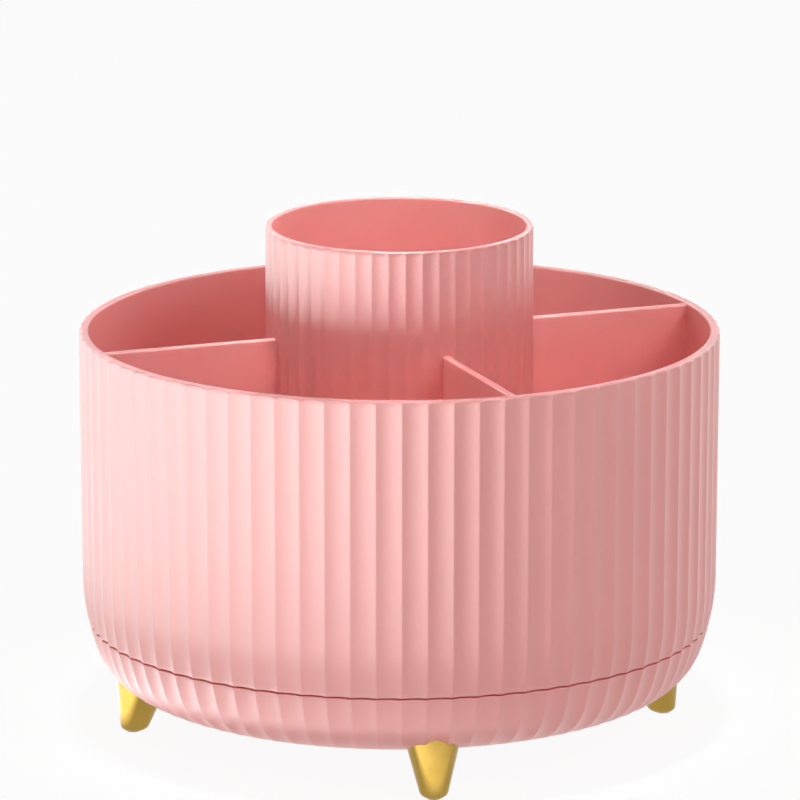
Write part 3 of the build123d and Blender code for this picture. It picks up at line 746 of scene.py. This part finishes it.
# %% Feet
FOOT_SOLE_ROUND = 0.0018
FOOT_SEAT_DEPTH = 0.0004
FOOT_ROWS = 12
SOLE_ROWS = 7
sole_top = foot_low.z + FOOT_SOLE_ROUND
sole_angle = np.radians(np.linspace(-90, 0, SOLE_ROWS + 1))[:-1, None]
sole_heights = np.broadcast_to(sole_top + FOOT_SOLE_ROUND * np.sin(sole_angle), (SOLE_ROWS, FOOT_COLUMNS))
shank_shares = np.linspace(0, 1, FOOT_ROWS)[:, None]
shank_heights = sole_top + (above + FOOT_SEAT_DEPTH - sole_top) * shank_shares
sole = cone_point(np.broadcast_to(around, sole_heights.shape), sole_heights)
sole_middle = sole.mean(axis=1, keepdims=True)
sole_reach = np.linalg.norm(sole - sole_middle, axis=-1, keepdims=True)
sole_inset = FOOT_SOLE_ROUND * (1 - np.cos(sole_angle))[..., None]
sole = sole_middle + (sole - sole_middle) * (1 - sole_inset / sole_reach)
shank = cone_point(np.broadcast_to(around, shank_heights.shape), shank_heights)
foot_grid = np.concatenate([sole, shank])
for step, side in enumerate(SIDES):
    turned_foot = turned(foot_grid, FOOT_BEARING + step * math.pi / 2)
    grid_piece(f"foot_cone_{side}", turned_foot, "base", f"foot_{side}", gold_plate)

# %% [markdown]
# ## The pivot screw
# Turned over, the organizer shows one screw in the well of the bowl. Its pan head is a polar grid, and the
# cross for the screwdriver is pressed into it: two crossing slots, each a product of two clipped ramps.

# %% Pivot screw
screw_low, screw_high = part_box("pivot_screw")
washer_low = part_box("pivot_washer")[0]
HEAD_RADIUS = (screw_high.x - screw_low.x) / 2
HEAD_ROUND = 0.0012
SHANK_RADIUS = 0.002
SLOT_HALF_WIDTH = 0.00055
SLOT_REACH = 0.0023
SLOT_DEPTH = 0.0014
SLOT_RAMP = 0.00025
FACE_POLE_RADIUS = 0.0001
FACE_ROWS = 28
SCREW_COLUMNS = 144


def slot_share(along, across):
    """1 inside a slot and 0 outside it, with short ramps at its edges."""
    sides = np.clip((SLOT_HALF_WIDTH - np.abs(across)) / SLOT_RAMP + 1, 0, 1)
    ends = np.clip((SLOT_REACH - np.abs(along)) / SLOT_RAMP + 1, 0, 1)
    return sides * ends


screw_turn = np.linspace(0, 2 * math.pi, SCREW_COLUMNS, endpoint=False)
face_radii = np.linspace(FACE_POLE_RADIUS, HEAD_RADIUS - HEAD_ROUND, FACE_ROWS)
face_rows = plain_rows(*((radius, screw_low.z) for radius in face_radii))
head_edge = quarter_round(
    HEAD_RADIUS - HEAD_ROUND, screw_low.z + HEAD_ROUND, HEAD_ROUND, -90, 0, FILLET_ROWS
)
screw_profile = np.concatenate([
    face_rows,
    head_edge[1:],
    plain_rows((HEAD_RADIUS, washer_low.z), (SHANK_RADIUS, washer_low.z)),
    plain_rows((SHANK_RADIUS, screw_high.z), (POLE_RADIUS, screw_high.z)),
])
screw_grid = fluted_turning(screw_profile, screw_turn, np.zeros(SCREW_COLUMNS))
face = screw_grid[:FACE_ROWS]
cross = np.maximum(slot_share(face[..., 0], face[..., 1]), slot_share(face[..., 1], face[..., 0]))
face[..., 2] += SLOT_DEPTH * cross
grid_piece("pivot_screw_cross_head", screw_grid, "carousel", "pivot_screw", zinc_steel)

# %% [markdown]
# ## Floor and background
# The picture's ground is plain white. Floor and world are white to the camera, in mirrors and through
# glass, so the gold shows the same ground as the picture does. For all other rays the floor is a plain pale
# sheet and the world is dim. A small share of the sheet's real shading stays in the picture, so the object
# keeps its soft shadow. Seen from below the sheet is clear, which lets the underside be looked at.

# %% Floor
FLOOR_HALF = 6.0
FLOOR_WHITE = "#fbfbfa"
FLOOR_LIFT = 0.93
WHITE = "#ffffff"


def seen_rays(tree):
    """Socket that is 1 for rays that show a picture: from the camera, off a mirror, or through glass."""
    path = add_node(tree, "ShaderNodeLightPath", {})
    mirrored = add_node(
        tree,
        "ShaderNodeMath",
        {0: path.outputs["Is Glossy Ray"], 1: path.outputs["Is Transmission Ray"]},
        operation="MAXIMUM",
    )
    seen = add_node(
        tree,
        "ShaderNodeMath",
        {0: path.outputs["Is Camera Ray"], 1: mirrored.outputs["Value"]},
        operation="MAXIMUM",
    )
    return seen.outputs["Value"]


floor_material, floor_tree, _ = new_material("pale_floor")
lift = add_node(
    floor_tree, "ShaderNodeMath", {0: seen_rays(floor_tree), 1: FLOOR_LIFT}, operation="MULTIPLY"
).outputs["Value"]
sheet = add_node(floor_tree, "ShaderNodeBsdfDiffuse", {"Color": linear(FLOOR_WHITE)}).outputs["BSDF"]
glow = add_node(floor_tree, "ShaderNodeEmission", {"Color": linear(WHITE)}).outputs["Emission"]
front = add_node(floor_tree, "ShaderNodeMixShader", {0: lift, 1: sheet, 2: glow}).outputs["Shader"]
behind = add_node(floor_tree, "ShaderNodeNewGeometry", {}).outputs["Backfacing"]
clear = add_node(floor_tree, "ShaderNodeBsdfTransparent", {}).outputs["BSDF"]
one_sided = add_node(floor_tree, "ShaderNodeMixShader", {0: behind, 1: front, 2: clear})
add_node(floor_tree, "ShaderNodeOutputMaterial", {"Surface": one_sided.outputs["Shader"]})

floor_mesh = bpy.data.meshes.new("floor")
floor_corners = FLOOR_HALF * np.array([(-1, -1, 0), (1, -1, 0), (1, 1, 0), (-1, 1, 0)])
floor_mesh.from_pydata(floor_corners.tolist(), [], [(0, 1, 2, 3)])
floor_mesh.materials.append(floor_material)
floor = bpy.data.objects.new("floor", floor_mesh)
bpy.context.scene.collection.objects.link(floor)
print("floor", 2 * FLOOR_HALF, "m wide")

# %% World
WORLD_LIGHT = 0.1
WORLD_SEEN = 1.0
world = bpy.data.worlds.new("studio")
world.use_nodes = True
world.node_tree.nodes.clear()
backdrop = add_node(
    world.node_tree,
    "ShaderNodeMapRange",
    {"Value": seen_rays(world.node_tree), "To Min": WORLD_LIGHT, "To Max": WORLD_SEEN},
)
sky = add_node(
    world.node_tree,
    "ShaderNodeBackground",
    {"Color": linear(WHITE), "Strength": backdrop.outputs["Result"]},
)
add_node(world.node_tree, "ShaderNodeOutputWorld", {"Surface": sky.outputs["Background"]})
bpy.context.scene.world = world
print("world lights the object at", WORLD_LIGHT, "and is seen at", WORLD_SEEN)

# %% [markdown]
# ## Light
# Soft boxes light the object from the front, both sides and the back, at a level where a colour comes out
# about as it is written. A narrow lamp overhead reaches down into the cup and the compartments. Azimuths
# count from the camera, to the right.

# %% Lights
LIGHT_AIM = np.array([0, 0, 0.09])
OPEN_SPREAD = 180
NARROW_SPREAD = 10
# Each row: azimuth and elevation in degrees, distance and size in metres, spread in degrees, power in watts
soft_boxes = {
    "front": (0, 48, 2.0, 0.7, OPEN_SPREAD, 2.5),
    "front_right": (42, 35, 2.0, 0.7, OPEN_SPREAD, 9.5),
    "edge_right": (130, 25, 1.6, 0.9, OPEN_SPREAD, 4.0),
    "back_left": (-140, 35, 1.6, 0.9, OPEN_SPREAD, 5.0),
    "left": (-70, 25, 2.0, 0.7, OPEN_SPREAD, 4.7),
    "snoot": (0, 84, 1.6, 0.15, NARROW_SPREAD, 0.14),
}


def soft_box(name, azimuth, elevation, distance, size, spread, watts):
    """A square lamp on a sphere round the middle of the floor, turned to face the object."""
    lamp = bpy.data.lights.new(name, "AREA")
    lamp.shape = "SQUARE"
    lamp.size = size
    lamp.spread = math.radians(spread)
    lamp.energy = watts
    light = bpy.data.objects.new(name, lamp)
    turn, rise = math.radians(azimuth), math.radians(elevation)
    level = distance * math.cos(rise)
    light.location = studio_point(level * math.sin(turn), level * math.cos(turn), distance * math.sin(rise))
    x, y, z = np.array(light.location) - LIGHT_AIM
    light.rotation_euler = (math.atan2(math.hypot(x, y), z), 0, math.atan2(x, -y))
    bpy.context.scene.collection.objects.link(light)


for name, row in soft_boxes.items():
    soft_box(name, *row)
bpy.context.scene.view_settings.view_transform = "Standard"
print("soft boxes:", ", ".join(soft_boxes))

# %% [markdown]
# ## Light table
# The paler left-hand side of the lacquer is sheen. It comes from a round light table that the object stands
# on. The table adds to the gloss alone and glows most on the left. Two curves set its glow: one by the
# direction from the middle, in degrees from the camera to the right, and one by the distance from it, in
# metres.

# %% Glow curves
TABLE_REACH = 1.5
glow_by_azimuth = {
    -180: 0.06, -165: 0.11, -140: 0.17, -110: 0.34, -88: 0.69, -55: 0.87, -24: 0.7, 8: 0.36, 32: 0.05,
    100: 0.0, 120: 0.02, 150: 0.04, 180: 0.06,
}
glow_by_distance = {
    0.0: 0.0, 0.096: 0.0, 0.104: 0.5, 0.125: 0.5, 0.14: 0.22, 0.2: 0.22, 0.32: 0.95, 0.7: 1.0, 0.78: 1.8,
    TABLE_REACH: 1.8,
}


def share_curve(tree, value, low, high, points):
    """Socket that runs through the points (value: share) in straight steps."""
    place = add_node(tree, "ShaderNodeMapRange", {"Value": value, "From Min": low, "From Max": high})
    curve = add_node(tree, "ShaderNodeValToRGB", {"Fac": place.outputs["Result"]})
    stops = curve.color_ramp.elements
    while len(stops) < len(points):
        stops.new(0.5)
    for stop, (at, share) in zip(stops, points.items()):
        stop.position = (at - low) / (high - low)
        stop.color = (share, share, share, 1.0)
    return curve.outputs["Color"]


print("the table glows most at", max(glow_by_azimuth, key=glow_by_azimuth.get), "degrees")

# %% Light table
TABLE_LIFT = 0.0005
TABLE_GLOW = 5.0
WATTS_PER_GLOW = 4.0
table = bpy.data.lights.new("light_table", "AREA")
table.shape = "DISK"
table.size = 2 * TABLE_REACH
table.energy = WATTS_PER_GLOW * TABLE_GLOW * math.pi * TABLE_REACH**2
table.use_nodes = True
tree = table.node_tree
tree.nodes.clear()
spot = add_node(tree, "ShaderNodeNewGeometry", {}).outputs["Position"]
from_camera = add_node(
    tree, "ShaderNodeVectorRotate", {"Vector": spot, "Angle": -CAMERA_AZIMUTH}, rotation_type="Z_AXIS"
)
axes = add_node(tree, "ShaderNodeSeparateXYZ", {"Vector": from_camera.outputs["Vector"]}).outputs
toward = add_node(tree, "ShaderNodeMath", {0: axes["Y"], 1: -1.0}, operation="MULTIPLY").outputs["Value"]
turn = add_node(tree, "ShaderNodeMath", {0: axes["X"], 1: toward}, operation="ARCTAN2").outputs["Value"]
degrees = add_node(tree, "ShaderNodeMath", {0: turn}, operation="DEGREES").outputs["Value"]
distance = add_node(tree, "ShaderNodeVectorMath", {0: spot}, operation="LENGTH").outputs["Value"]
by_azimuth = share_curve(tree, degrees, -180, 180, glow_by_azimuth)
by_distance = share_curve(tree, distance, 0, TABLE_REACH, glow_by_distance)
share = add_node(tree, "ShaderNodeMath", {0: by_azimuth, 1: by_distance}, operation="MULTIPLY")
shine = add_node(tree, "ShaderNodeEmission", {"Strength": share.outputs["Value"]})
add_node(tree, "ShaderNodeOutputLight", {"Surface": shine.outputs["Emission"]})

light_table = bpy.data.objects.new("light_table", table)
light_table.location = (0, 0, TABLE_LIFT)
light_table.rotation_euler = (math.pi, 0, 0)
light_table.visible_camera = False
light_table.visible_diffuse = False
bpy.context.scene.collection.objects.link(light_table)
print("light table", 2 * TABLE_REACH, "m across")
